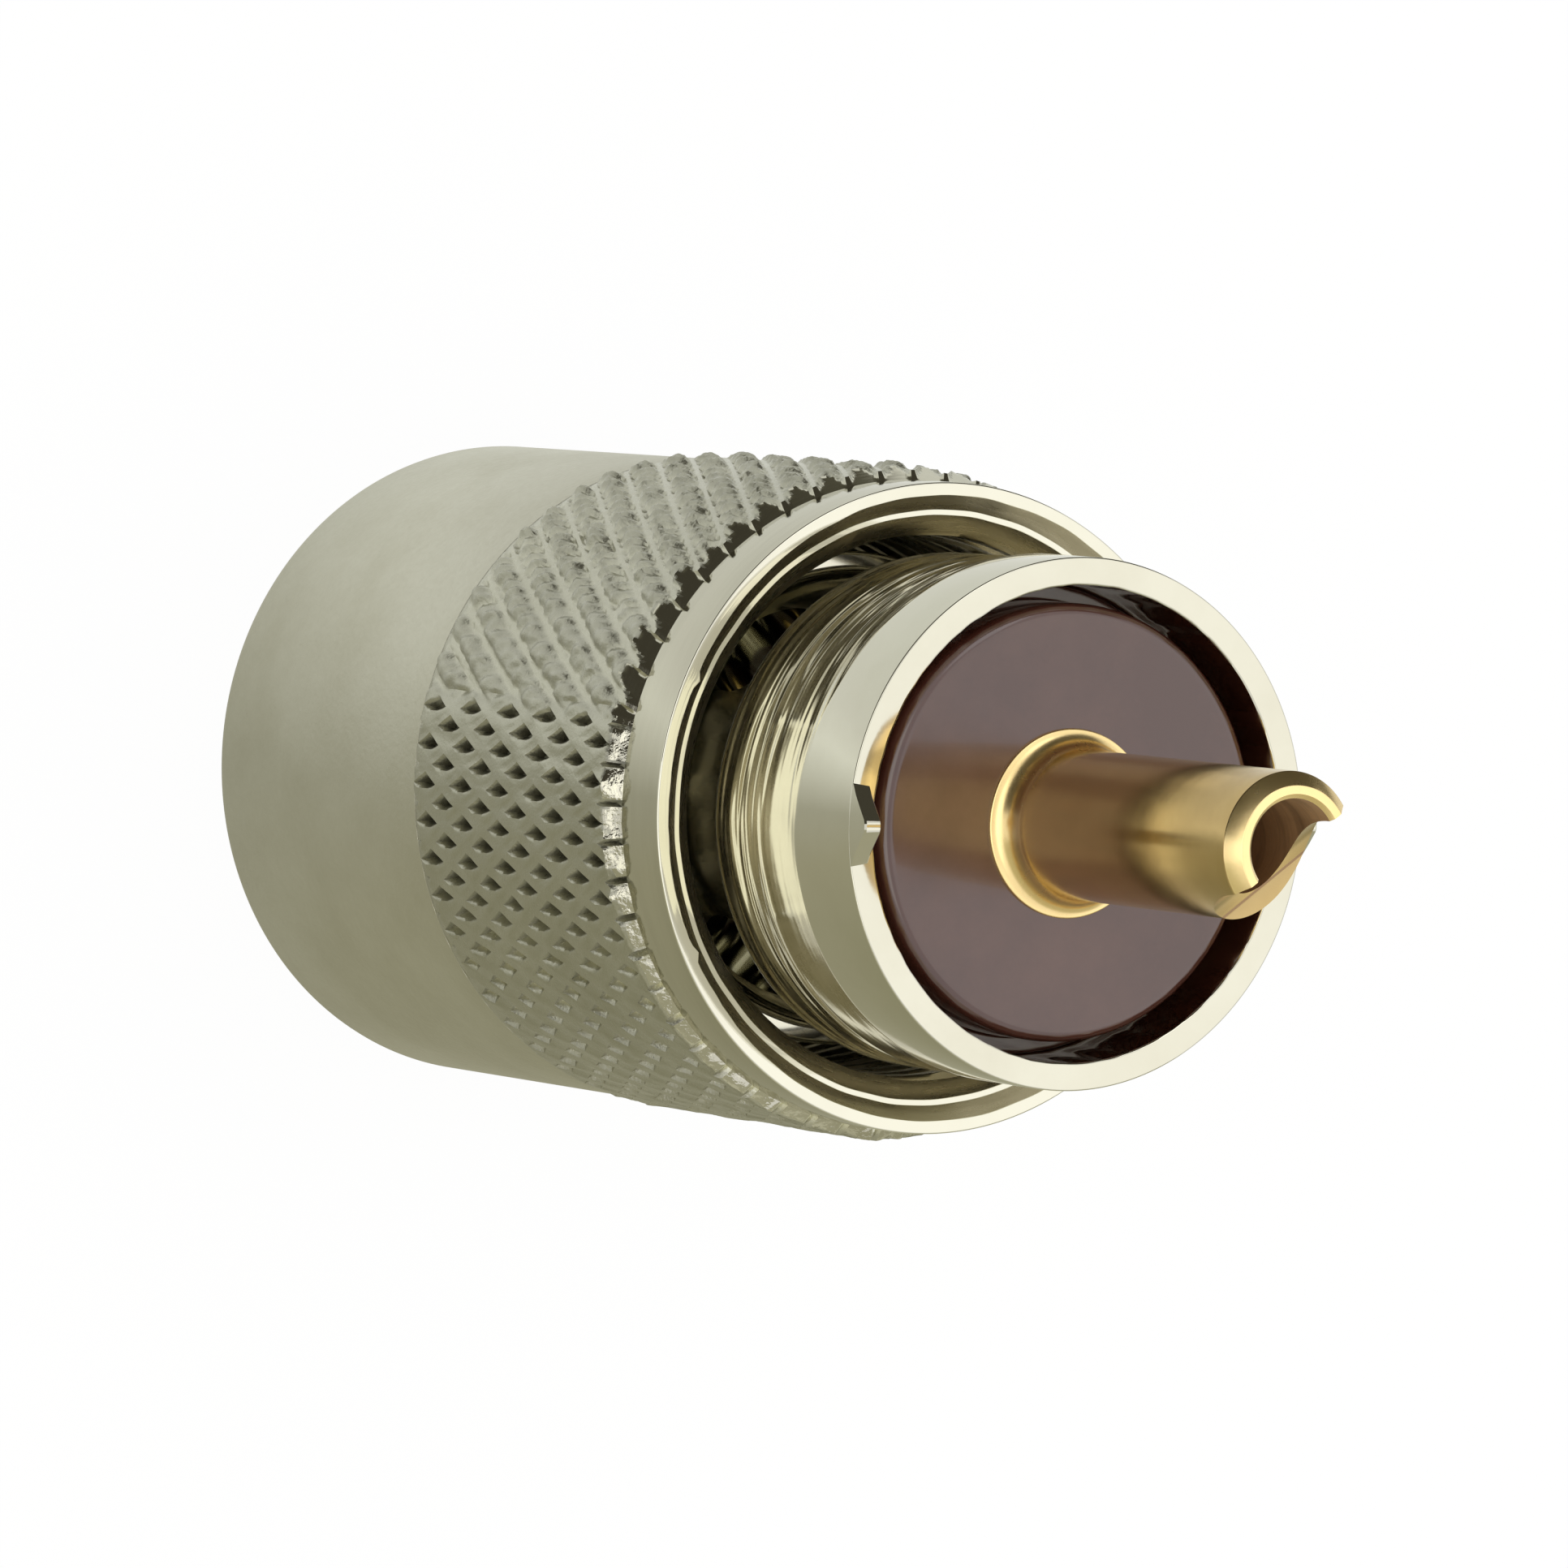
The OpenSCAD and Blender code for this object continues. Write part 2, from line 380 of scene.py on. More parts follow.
@dataclass(frozen=True)
class Finish:
    """A surface finish: colour, gloss, and the grain and stain that break it up; a shaded finish also takes painted
    light and shade from the mesh.
    """

    name: str
    color: Color
    stain: Color
    stain_share: float
    metallic: float
    roughness: float
    grain: Grain
    grain_scale: float
    grain_height: float
    roughness_spread: float = 0.08
    coat: float = 0.0
    ior: float = 1.5
    # When set, the colour is multiplied by the mesh's shade layer, which holds painted light and shade.
    shaded: bool = False

    def material(self) -> bpy.types.Material:
        """Builds the finish as a material of procedural nodes.

        Returns:
            The material.
        """
        made = bpy.data.materials.new(self.name)
        made.use_nodes = True
        nodes, links = made.node_tree.nodes, made.node_tree.links
        shader = nodes["Principled BSDF"]
        shader.inputs["Metallic"].default_value = self.metallic
        shader.inputs["IOR"].default_value = self.ior
        shader.inputs["Coat Weight"].default_value = self.coat
        shader.inputs["Coat Roughness"].default_value = COAT_ROUGHNESS
        coordinates = nodes.new("ShaderNodeTexCoord")
        scale = TURNED_STRETCH if self.grain is Grain.TURNED else EVEN_STRETCH
        stretch = added(nodes, "ShaderNodeMapping", {"Scale": scale})
        links.new(coordinates.outputs["Object"], stretch.inputs["Vector"])

        cloud = added(nodes, "ShaderNodeTexNoise", STAIN_CLOUD)
        links.new(stretch.outputs["Vector"], cloud.inputs["Vector"])
        edges = {"From Min": STAIN_START, "From Max": STAIN_END, "To Max": self.stain_share}
        spread = added(nodes, "ShaderNodeMapRange", edges)
        links.new(cloud.outputs["Fac"], spread.inputs["Value"])
        mix = nodes.new("ShaderNodeMix")
        mix.data_type = "RGBA"
        mix.inputs["A"].default_value = (*self.color, 1)
        mix.inputs["B"].default_value = (*self.stain, 1)
        links.new(spread.outputs["Result"], mix.inputs["Factor"])
        color = mix.outputs["Result"]
        # Painted light and shade: the mesh's shade layer multiplies the colour.
        if self.shaded:
            shade = nodes.new("ShaderNodeVertexColor")
            shade.layer_name = SHADE
            weighted = nodes.new("ShaderNodeMix")
            weighted.data_type = "RGBA"
            weighted.blend_type = "MULTIPLY"
            weighted.inputs["Factor"].default_value = 1
            links.new(color, weighted.inputs["A"])
            links.new(shade.outputs["Color"], weighted.inputs["B"])
            color = weighted.outputs["Result"]
        links.new(color, shader.inputs["Base Color"])

        fine = added(nodes, "ShaderNodeTexNoise", {"Scale": self.grain_scale, "Detail": GRAIN_DETAIL})
        links.new(stretch.outputs["Vector"], fine.inputs["Vector"])
        smooth = max(LEAST_ROUGHNESS, self.roughness - self.roughness_spread)
        rough = self.roughness + self.roughness_spread
        gloss = added(nodes, "ShaderNodeMapRange", {"To Min": smooth, "To Max": rough})
        links.new(fine.outputs["Fac"], gloss.inputs["Value"])
        links.new(gloss.outputs["Result"], shader.inputs["Roughness"])
        bump = added(nodes, "ShaderNodeBump", {"Distance": self.grain_height * MM})
        links.new(fine.outputs["Fac"], bump.inputs["Height"])
        links.new(bump.outputs["Normal"], shader.inputs["Normal"])
        return made


POLISHED_NICKEL = Finish(
    "polished_nickel", (0.7, 0.68, 0.57), (0.54, 0.51, 0.4), 0.3, 1.0, 0.05, Grain.TURNED, 900, 0.002, 0.03
)
SATIN_NICKEL = Finish(
    "satin_nickel", (0.58, 0.565, 0.475), (0.47, 0.45, 0.35), 0.6, 1.0, 0.44, Grain.PEBBLED, 5200, 0.02, 0.08
)
KNURL_NICKEL = Finish(
    "knurl_nickel", (0.46, 0.45, 0.37), (0.35, 0.34, 0.265), 0.5, 1.0, 0.31, Grain.PEBBLED, 12000, 0.014, 0.12,
    shaded=True,
)
COLLAR_NICKEL = Finish(
    "collar_nickel", (0.56, 0.54, 0.44), (0.47, 0.45, 0.36), 0.4, 1.0, 0.1, Grain.TURNED, 900, 0.002, 0.04
)
BEVEL_NICKEL = Finish(
    "bevel_nickel", (0.6, 0.58, 0.48), (0.4, 0.38, 0.28), 0.6, 1.0, 0.1, Grain.PEBBLED, 2300, 0.1, 0.05
)
BORE_NICKEL = Finish(
    "bore_nickel", (0.56, 0.51, 0.38), (0.34, 0.3, 0.19), 0.7, 1.0, 0.28, Grain.TURNED, 900, 0.006, 0.08
)
BARREL_NICKEL = Finish(
    "barrel_nickel", (0.65, 0.63, 0.525), (0.5, 0.47, 0.36), 0.3, 1.0, 0.08, Grain.EVEN, 900, 0.001, 0.03
)
PHENOLIC = Finish(
    "brown_phenolic", (0.082, 0.024, 0.016), (0.15, 0.06, 0.042), 0.7, 0.0, 0.2, Grain.EVEN, 1500, 0.003, 0.05, 0.7,
    1.6,
)
PIN_GOLD = Finish(
    "pin_gold", (0.88, 0.64, 0.28), (0.55, 0.35, 0.13), 0.5, 1.0, 0.18, Grain.EVEN, 900, 0.004, 0.06, shaded=True
)
# A lighter copy of the pin's gold for its foot and the tip's bevel: painted highlight.
FOOT_HIGHLIGHT_GOLD = Finish(
    "foot_highlight_gold", (0.98, 0.76, 0.37), (0.78, 0.52, 0.2), 0.4, 1.0, 0.26, Grain.EVEN, 900, 0.004, 0.08
)
PIN_BORE = Finish(
    "pin_bore", (0.5, 0.3, 0.14), (0.16, 0.09, 0.04), 0.8, 0.2, 0.45, Grain.TURNED, 1500, 0.01, 0.1
)


def dressed(piece: bpy.types.Object, finish: Finish) -> None:
    """Gives a piece one finish all over."""
    piece.data.materials.clear()
    piece.data.materials.append(finish.material())


def shaded(piece: bpy.types.Object, tone: Callable[[np.ndarray], np.ndarray]) -> None:
    """Writes the painted light and shade of each point of a piece, for a finish that is shaded.

    Args:
        piece: The piece.
        tone: A function from points in millimetres to a share of the finish's colour, 1 where nothing is painted.
    """
    mesh = piece.data
    spots = np.empty(len(mesh.vertices) * 3)
    mesh.vertices.foreach_get("co", spots)
    share = tone(spots.reshape(-1, 3) / MM)
    layer = mesh.color_attributes.new(SHADE, "FLOAT_COLOR", "POINT")
    layer.data.foreach_set("color", np.stack([share, share, share, np.ones_like(share)], axis=-1).ravel())


def soft_noise(shape: tuple[int, int], reach: int, seed: int) -> np.ndarray:
    """Makes smooth lumps on a grid that closes on itself both ways, the same on every run.

    Args:
        shape: Rows and columns of the grid.
        reach: How many cells a lump spreads over.
        seed: Number that picks the lumps.

    Returns:
        Heights with a spread of 1 about zero.
    """
    lumps = np.random.default_rng(seed).normal(0, 1, shape)
    for _ in range(2):
        for axis in (0, 1):
            lumps = sum(np.roll(lumps, step, axis) for step in range(-reach, reach + 1))
    return (lumps - lumps.mean()) / lumps.std()


@dataclass
class PlugBody:
    """The turned body: toothed barrel, neck with solder holes, retaining band and rear sleeve."""

    length: float = 31.5
    barrel_r: float = 7.1
    barrel_len: float = 7.1
    mouth_r: float = 6.35
    mouth_depth: float = 6.0
    neck_r: float = 6.1
    neck_len: float = 4.9
    retain_r: float = 6.8
    retain_len: float = 4.0
    rear_r: float = 6.5
    braid_r: float = 4.0
    entry_r: float = 5.3
    entry_depth: float = 12.0
    hole_r: float = 1.6
    holes: int = 4
    hole_cut: float = 5.2
    tooth_angles: tuple[float, ...] = (0.0, 180.0)
    tooth_width: float = 2.2
    tooth_crest: float = 0.25
    tooth_height: float = 0.8
    tooth_thick: float = 0.52
    retain_pitch: float = 1.0
    retain_depth: float = 0.4
    entry_pitch: float = 0.907
    entry_cut: float = 0.28
    rim_wave: float = 0.014
    worn_z: float = 28.75
    worn_rise: float = 0.65
    worn_at: float = 122.0
    worn_spread: float = 1.5
    worn_wave: float = 0.05
    flare_len: float = 2.2
    flare_rise: float = 0.9
    flare: float = 0.085
    flare_gain: float = 1.2
    mark_lengths: tuple[float, ...] = (1.1, 0.7, 0.45, 0.3, 0.21)
    mark_drift: float = 2.2
    streak: float = 0.006
    clean_len: float = 1.7
    clean_share: float = 0.08
    clean_fade: float = 0.3
    rear_marks: float = 0.75
    top_marks: float = 0.5
    front_fade: float = 0.08
    rear_fade: float = 0.2
    segments: int = 224

    def outline(self) -> list[Point2]:
        """Closed outline of the body, from the rear face up the outside and back down the bore.

        Returns:
            Points as (radius, height).
        """
        barrel_z = self.length - self.barrel_len
        neck_z = barrel_z - self.neck_len
        retain_z = neck_z - self.retain_len
        ledge_z = self.length - self.mouth_depth
        outside = [
            Corner(self.rear_r, 0, 0.15),
            Corner(self.rear_r, retain_z, 0.1),
            Corner(self.retain_r, retain_z, 0.18),
            *wall(self.retain_r, retain_z + 0.3, neck_z - 0.3, 0.07),
            Corner(self.retain_r, neck_z, 0.18),
            Corner(self.neck_r, neck_z, 0.3),
            Corner(self.neck_r, barrel_z, 0.3),
            Corner(self.barrel_r, barrel_z, 0.1),
            *wall(self.barrel_r, barrel_z + 0.3, self.worn_z + self.worn_rise + 0.1, 0.045),
            Corner(self.barrel_r, self.length, 0.05),
            Corner(self.mouth_r, self.length, 0.07),
            Corner(self.mouth_r, ledge_z, 0.05),
            Corner(self.braid_r, ledge_z, 0.1),
            Corner(self.braid_r, self.entry_depth, 0.1),
            Corner(self.entry_r, self.entry_depth, 0.1),
            *wall(self.entry_r, self.entry_depth - 0.4, 0.7, 0.07),
            Corner(self.entry_r, 0.5, 0.1),
            Corner(self.entry_r + 0.5, 0, 0.1),
        ]
        return rounded(outside)

    def swell(self, angle: np.ndarray, r: np.ndarray, z: np.ndarray) -> np.ndarray:
        """Threads, the barrel's wear and the slightly uneven polish of the rim.

        Args:
            angle: Angles round the axis, in radians.
            r: Radii of the plain outline.
            z: Heights.

        Returns:
            The change of radius.
        """
        neck_z = self.length - self.barrel_len - self.neck_len
        band = Thread(neck_z - self.retain_len, neck_z, self.retain_pitch, self.retain_depth, outwards=False)
        entry = Thread(0.5, self.entry_depth, self.entry_pitch, self.entry_cut, outwards=True)
        on_band = r > self.retain_r - 0.01
        in_entry = (np.abs(r - self.entry_r) < 0.01) & (z < self.entry_depth)
        rim = (np.abs(z - self.length) < 0.06) & (r < self.mouth_r + 0.12)
        on_barrel = (r > self.barrel_r - 0.12) & (z > neck_z + self.neck_len - 0.01) & (z < self.length - 1)
        uneven = seeded_wave(5, 9, 7, 60)(angle)
        return (
            np.where(on_band & (z < neck_z), band.swell(angle, r, z), 0)
            + np.where(in_entry, entry.swell(angle, r, z), 0)
            + np.where(rim, uneven * self.rim_wave, 0)
            + np.where(on_barrel, self.wear(angle, z), 0)
        )

    def wear(self, angle: np.ndarray, z: np.ndarray) -> np.ndarray:
        """Shallow turning marks and the faint flare that the ring has worn into the barrel behind its clean front.

        Args:
            angle: Angles round the axis, in radians.
            z: Heights.

        Returns:
            The change of radius.
        """
        turn = np.clip(off_by(angle, self.worn_at) * self.worn_spread, -90, 90)
        rise = np.clip(np.cos(np.radians(turn)), 0, 1)
        front = self.worn_z + self.worn_rise * rise + seeded_wave(30, 7, 3, 30)(angle) * self.worn_wave
        reach = self.flare_len + self.flare_rise * rise
        share = np.clip((z - front + reach) / reach, 0, 1)
        marks = 0 * z
        for k, length in enumerate(self.mark_lengths):
            drift = seeded_wave(31 + k, 5, 1, 9)(angle) * self.mark_drift
            marks = marks + np.cos(2 * math.pi * z / length + drift) * length * self.streak
        behind = np.clip((front - self.clean_len - z) / self.clean_fade, 0, 1)
        weighted = np.maximum(behind * self.rear_marks, rise * self.top_marks)
        marks = marks * (self.clean_share + (1 - self.clean_share) * weighted)
        marks = marks * np.clip((front - z) / self.front_fade, 0, 1)
        marks = marks * np.clip((z - self.length + self.barrel_len) / self.rear_fade - 1, 0, 1)
        flare = self.flare * (1 + self.flare_gain * rise) * (1 - share * share)
        return np.where(z < front, marks - flare, 0)

    def tooth(self, draft: MeshDraft, turn: float) -> None:
        """Adds one tooth to the rim.

        Args:
            draft: The body's draft.
            turn: Where the tooth stands, in degrees from +X.
        """
        base = math.degrees(self.tooth_width / 2 / self.barrel_r)
        crest = math.degrees(self.tooth_crest / 2 / self.barrel_r)
        inner, outer, bevel = self.barrel_r - self.tooth_thick, self.barrel_r - 0.01, 0.05
        stops = [-base, -base * 0.72, -base * 0.45, -crest * 1.4, -crest * 0.6]
        sections = []
        for offset in stops + [-s for s in reversed(stops)]:
            rise = self.tooth_height * min(1.0, max(0.0, (base - abs(offset)) / (base - crest * 1.2)))
            rise = min(rise, self.tooth_height - 0.03 * (abs(offset) > crest))
            low, high = self.length - 0.2, self.length + max(rise, 0.004)
            lip = min(bevel, max(high - low - 0.19, 0.002))
            a = math.radians(turn + offset)
            ring = [(inner, low), (outer, low), (outer, high - lip), (outer - lip, high)]
            ring += [(inner + lip, high), (inner, high - lip)]
            sections.append([(r * math.cos(a), r * math.sin(a), z) for r, z in ring])
        draft.prism(sections)

    def build(self) -> bpy.types.Object:
        """Builds and dresses the body.

        Returns:
            The body.
        """
        draft = MeshDraft()
        draft.turned(self.outline(), self.segments, self.swell)
        body = draft.made("plug_body_turned")
        height = self.length - self.barrel_len - self.neck_len / 2
        cutters = []
        for k in range(self.holes):
            turn = Matrix.Rotation((k + 0.5) * 2 * math.pi / self.holes, 4, "Z")
            lie = Matrix.Rotation(math.pi / 2, 4, "Y")
            place = Matrix.Translation((0, 0, height)) @ turn @ Matrix.Translation((self.neck_r, 0, 0)) @ lie
            cutters.append(round_cutter(self.hole_r, self.hole_cut, place))
        cut_away(body, cutters)
        dressed(body, BARREL_NICKEL)
        teeth = MeshDraft()
        for turn_deg in self.tooth_angles:
            self.tooth(teeth, turn_deg)
        tooth_piece = teeth.made("plug_body_teeth")
        tooth_piece.data.materials.append(body.data.materials[0])
        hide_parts("plug_body")
        for piece in (body, tooth_piece):
            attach(piece, "plug")
        return body


@dataclass
class Insulator:
    """The brown resin disc that fills the barrel's mouth."""

    ledge_z: float = 25.5
    face_z: float = 31.05
    base_r: float = 6.35
    base_len: float = 3.2
    boss_r: float = 5.85
    wobble: float = 0.012
    edge: float = 0.4
    bore_r: float = 1.85
    segments: int = 192

    def build(self) -> bpy.types.Object:
        """Builds and dresses the disc.

        Returns:
            The disc.
        """
        corners = [
            Corner(self.bore_r, self.ledge_z),
            Corner(self.base_r, self.ledge_z),
            Corner(self.base_r, self.ledge_z + self.base_len, 0.2),
            Corner(self.boss_r, self.ledge_z + self.base_len, 0.1),
            Corner(self.boss_r, self.face_z, self.edge),
            Corner(self.bore_r, self.face_z),
        ]
        draft = MeshDraft()
        wobble = seeded_wave(11, 6, 2, 9)

        def swell(angle: np.ndarray, r: np.ndarray, z: np.ndarray) -> np.ndarray:
            """Moulded edge that is not quite true."""
            return np.where((r > self.boss_r - 0.5) & (z > self.face_z - 0.6), wobble(angle) * self.wobble, 0)

        draft.turned(rounded(corners, 6), self.segments, swell)
        disc = draft.made("insulator_disc")
        dressed(disc, PHENOLIC)
        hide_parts("insulator")
        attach(disc, "plug")
        return disc


@dataclass
class ContactPin:
    """The hollow gold-plated pin, with its trumpet-shaped foot and the opening cut in its tip."""

    r: float = 2.0
    shank_r: float = 1.85
    bore_r: float = 1.3
    tip_z: float = 41.95
    bevel: float = 0.36
    face_z: float = 31.05
    ledge_z: float = 25.5
    flange_r: float = 2.53
    foot_rise: float = 0.8
    flange_rim: float = 0.1
    swage_r: float = 2.6
    tail: float = 2.0
    cutter_r: float = 3.0
    cutter_len: float = 12.0
    cut_angle: float = -55.0
    cut_offset: float = 0.05
    cut_drop: float = 0.15
    # Painted shade on the front half of the pin's outer wall.
    front_shade: float = 0.34
    front_shade_z: float = 37.0
    front_shade_len: float = 3.5
    wall_step: float = 0.4
    wall_rings: int = 23
    segments: int = 160

    def painted_front_shade(self, spots: np.ndarray) -> np.ndarray:
        """How bright the gold is at each point: painted shade darkens the front half of the outer wall, up to the
        bevel.

        Args:
            spots: Points in millimetres.

        Returns:
            Share of the finish's colour.
        """
        on_wall = np.hypot(spots[:, 0], spots[:, 1]) > self.r - 0.02
        # Painted shade, growing towards the tip on the outer wall.
        return 1 - self.front_shade * eased((spots[:, 2] - self.front_shade_z) / self.front_shade_len) * on_wall

    def build(self) -> bpy.types.Object:
        """Builds and dresses the pin.

        Returns:
            The pin.
        """
        fillet = self.flange_r - self.r
        foot = self.face_z + self.flange_rim
        corners = [
            Corner(self.bore_r, self.ledge_z - self.tail, 0.05),
            Corner(self.shank_r, self.ledge_z - self.tail, 0.15),
            Corner(self.shank_r, self.ledge_z - 0.4),
            Corner(self.swage_r, self.ledge_z - 0.2, 0.05),
            Corner(self.swage_r, self.ledge_z),
            Corner(self.shank_r, self.ledge_z),
            Corner(self.shank_r, self.face_z),
            Corner(self.flange_r, self.face_z),
            Corner(self.flange_r, foot, 0.08),
        ]
        for k in range(1, 9):
            a = math.radians(270 - 90 * k / 8)
            corners.append(Corner(self.flange_r + fillet * math.cos(a), foot + self.foot_rise * (1 + math.sin(a))))
        corners += [
            *(Corner(self.r, foot + self.foot_rise + self.wall_step * (k + 1)) for k in range(self.wall_rings)),
            Corner(self.r, self.tip_z - self.bevel, 0.05),
            Corner(self.r - self.bevel, self.tip_z, 0.05),
            Corner(self.bore_r + 0.12, self.tip_z, 0.02),
            Corner(self.bore_r, self.tip_z - 0.12, 0.02),
        ]
        draft = MeshDraft()
        draft.turned(rounded(corners), self.segments)
        pin = draft.made("center_pin_turned")
        turn = Matrix.Rotation(math.radians(self.cut_angle), 4, "Z")
        move = Matrix.Translation((self.cutter_r + self.cut_offset, 0, self.tip_z - self.cut_drop))
        lie = Matrix.Rotation(math.pi / 2, 4, "X")
        cut_away(pin, [round_cutter(self.cutter_r, self.cutter_len, turn @ move @ lie)])
        dressed(pin, PIN_GOLD)
        pin.data.materials.append(PIN_BORE.material())
        pin.data.materials.append(FOOT_HIGHLIGHT_GOLD.material())
        # The bore takes the brown finish, and the foot and the tip's bevel take the lighter gold as painted highlight.
        for polygon in pin.data.polygons:
            middle = polygon.center / MM
            reach = math.hypot(middle.x, middle.y)
            if reach < self.bore_r + 0.02:
                polygon.material_index = 1
            elif middle.z > self.face_z and (reach > self.r + 0.02 or middle.z > self.tip_z - self.bevel + 0.03):
                polygon.material_index = 2
        shaded(pin, self.painted_front_shade)
        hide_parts("center_pin")
        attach(pin, "plug")
        return pin


@dataclass
class CouplingRing:
    """The loose ring: plain skirt, knurled band and polished collar, with the coupling thread inside."""

    length: float = 24.5
    skirt_r: float = 9.05
    skirt_bore_r: float = 7.7
    collar_r: float = 8.84
    collar_len: float = 1.85
    knurl_len: float = 11.15
    crest_r: float = 9.3
    depth: float = 0.42
    land: float = 0.4
    cross_land: float = 0.44
    cross_drop: float = 0.02
    wall: float = 0.34
    lump: float = 0.016
    lump_cap: float = 0.03
    grit_share: float = 0.15
    bump_share: float = 0.95
    foot_share: float = 0.93
    foot_slope: float = 4.5
    under: tuple[float, float] = (105.0, 30.0)
    rope_at: float = 95.0
    rope_half: float = 70.0
    rope_fade: float = 6.0
    rope_groove: float = 0.19
    rope_share: float = 0.19
    rope_edge: float = 0.12
    rope_dip: float = 0.16
    wave_lean: float = 0.35
    wave_share: float = 0.8
    roll_share: float = 0.45
    calm_share: float = 0.6
    calm: tuple[float, float] = (35.0, 25.0)
    rope_round: float = 0.15
    # The ropes are painted darker and the flat strips lighter: painted shade and painted highlight.
    rope_shade_tone: float = 0.9
    strip_highlight_tone: float = 1.12
    rope_lump: float = 0.045
    rope_bevel: float = 0.95
    bevel_lump: float = 0.032
    low_drop: float = 0.14
    low: tuple[float, float] = (80.0, 40.0)
    low_land: float = 0.12
    run_in: float = 0.5
    sleeve_sink: float = 0.4
    core_sink: float = 0.25
    tuck: float = 0.01
    cone_sink: float = 0.03
    bevel_fade: float = 0.1
    # Painted shade in the pits round one side of the ring, darker in one half of each pit, and painted highlights in
    # the pits elsewhere.
    pit_shade_at: float = 180.0
    pit_shade_half: float = 28.648
    pit_shade_tone: float = 0.4
    pit_highlight_tone: float = 2.1
    pit_gain: float = 1.5
    pit_start: float = 0.25
    half_shade_share: float = 0.7
    half_shade_drop: float = 0.6
    half_shade_gain: float = 2.5
    strip_edge: float = 0.08
    knurl_count: int = 54
    knurl_rows: int = 11
    knurl_bevel: float = 0.42
    thread_minor_r: float = 7.375
    thread_major_r: float = 7.94
    thread_pitch: float = 1.058
    cavity_len: float = 13.0
    relief_len: float = 2.0
    lip_len: float = 3.0
    lip_r: float = 6.9
    mouth_face_r: float = 8.49
    step_depth: float = 0.38
    step_r: float = 8.09
    rim_wave: float = 0.02
    step_wave: float = 0.018
    burrs: tuple[float, ...] = (156.0, 207.0)
    burr_half: float = 0.02
    burr_height: float = 0.14
    torn_at: float = 205.0
    torn_width: float = 26.0
    torn_height: float = 0.035
    fine: int = 8
    segments: int = 224

    @property
    def knurl_front(self) -> float:
        """Height of the knurl's front edge."""
        return self.length - self.collar_len

    @property
    def knurl_rear(self) -> float:
        """Height of the knurl's rear edge."""
        return self.knurl_front - self.knurl_len

    def outline(self) -> list[Point2]:
        """Closed outline of the ring without its knurl.

        Returns:
            Points as (radius, height).
        """
        core_r = self.collar_r - self.core_sink
        lip_front = self.length - self.cavity_len
        lip_rear = lip_front - self.lip_len
        thread_top = self.length - self.step_depth - (self.thread_major_r - self.thread_minor_r)
        corners = [
            Corner(self.skirt_r, 0, 0.22),
            Corner(self.skirt_r, self.knurl_rear + 0.02, 0.02),
            Corner(core_r, self.knurl_rear + 0.02),
            Corner(core_r, self.knurl_front - 0.05),
            Corner(self.collar_r, self.knurl_front - 0.05),
            Corner(self.collar_r, self.length, 0.05),
            Corner(self.mouth_face_r, self.length, 0.04),
            Corner(self.step_r, self.length - self.step_depth, 0.03),
            Corner(self.thread_major_r, self.length - self.step_depth, 0.04),
            Corner(self.thread_minor_r, thread_top),
            *wall(self.thread_minor_r, thread_top - 0.07, lip_front + self.relief_len + 0.1, 0.07),
            Corner(self.thread_major_r + 0.06, lip_front + self.relief_len),
            Corner(self.thread_major_r + 0.06, lip_front, 0.1),
            Corner(self.lip_r + 0.1, lip_front),
            *wall(self.lip_r, lip_front - 0.15, lip_rear + 0.15, 0.09),
            Corner(self.lip_r + 0.1, lip_rear),
            Corner(self.skirt_bore_r, lip_rear, 0.1),
            Corner(self.skirt_bore_r, 0, 0.2),
        ]
        return rounded(corners)

    def swell(self, angle: np.ndarray, r: np.ndarray, z: np.ndarray) -> np.ndarray:
        """Threads, and the nicks and unevenness of the front rim.

        Args:
            angle: Angles round the axis, in radians.
            r: Radii of the plain outline.
            z: Heights.

        Returns:
            The change of radius.
        """
        lip_front = self.length - self.cavity_len
        thread_top = self.length - self.step_depth
        depth = self.thread_major_r - self.thread_minor_r
        coupling = Thread(lip_front + self.relief_len, thread_top + 0.5, self.thread_pitch, depth, outwards=True)
        lip = Thread(lip_front - self.lip_len, lip_front, 1.0, 0.36, outwards=True, run_out=0.3)
        in_thread = (np.abs(r - self.thread_minor_r) < 0.01) & (z > lip_front)
        in_lip = np.abs(r - self.lip_r) < 0.01
        rim_inside = (z > self.length - 0.1) & (r < self.mouth_face_r + 0.08)
        step = (np.abs(z - self.length + self.step_depth) < 0.08) & (r > self.thread_major_r - 0.06)
        turn = off_by(angle, self.torn_at) / self.torn_width
        torn = seeded_wave(23, 12, 20, 90)(angle) * np.exp(-turn * turn) * self.torn_height
        burr = sum(np.exp(-(((angle - math.radians(spot)) / self.burr_half) ** 2)) for spot in self.burrs)
        return (
            np.where(in_thread, coupling.swell(angle, r, z), 0)
            - np.where(rim_inside, burr * self.burr_height - torn, 0)
            + np.where(in_lip, lip.swell(angle, r, z), 0)
            + np.where(rim_inside, seeded_wave(21, 9, 5, 48)(angle) * self.rim_wave, 0)
            + np.where(step, seeded_wave(22, 9, 5, 40)(angle) * self.step_wave, 0)
        )

    def past(self, angle: np.ndarray, start: float, reach: float) -> np.ndarray:
        """How far angles lie outside the arc of the ropes.

        Args:
            angle: Angles round the axis, in radians.
            start: Degrees from the arc's middle where the share starts to rise from 0.
            reach: Degrees over which it rises to 1.

        Returns:
            Shares from 0 to 1.
        """
        return eased((np.abs(off_by(angle, self.rope_at)) - start) / reach)

    def pitted(self, angle: np.ndarray) -> np.ndarray:
        """Share of the pits at each angle: 0 where the ropes are and 1 elsewhere."""
        return self.past(angle, self.rope_half - self.rope_fade / 2, self.rope_fade)

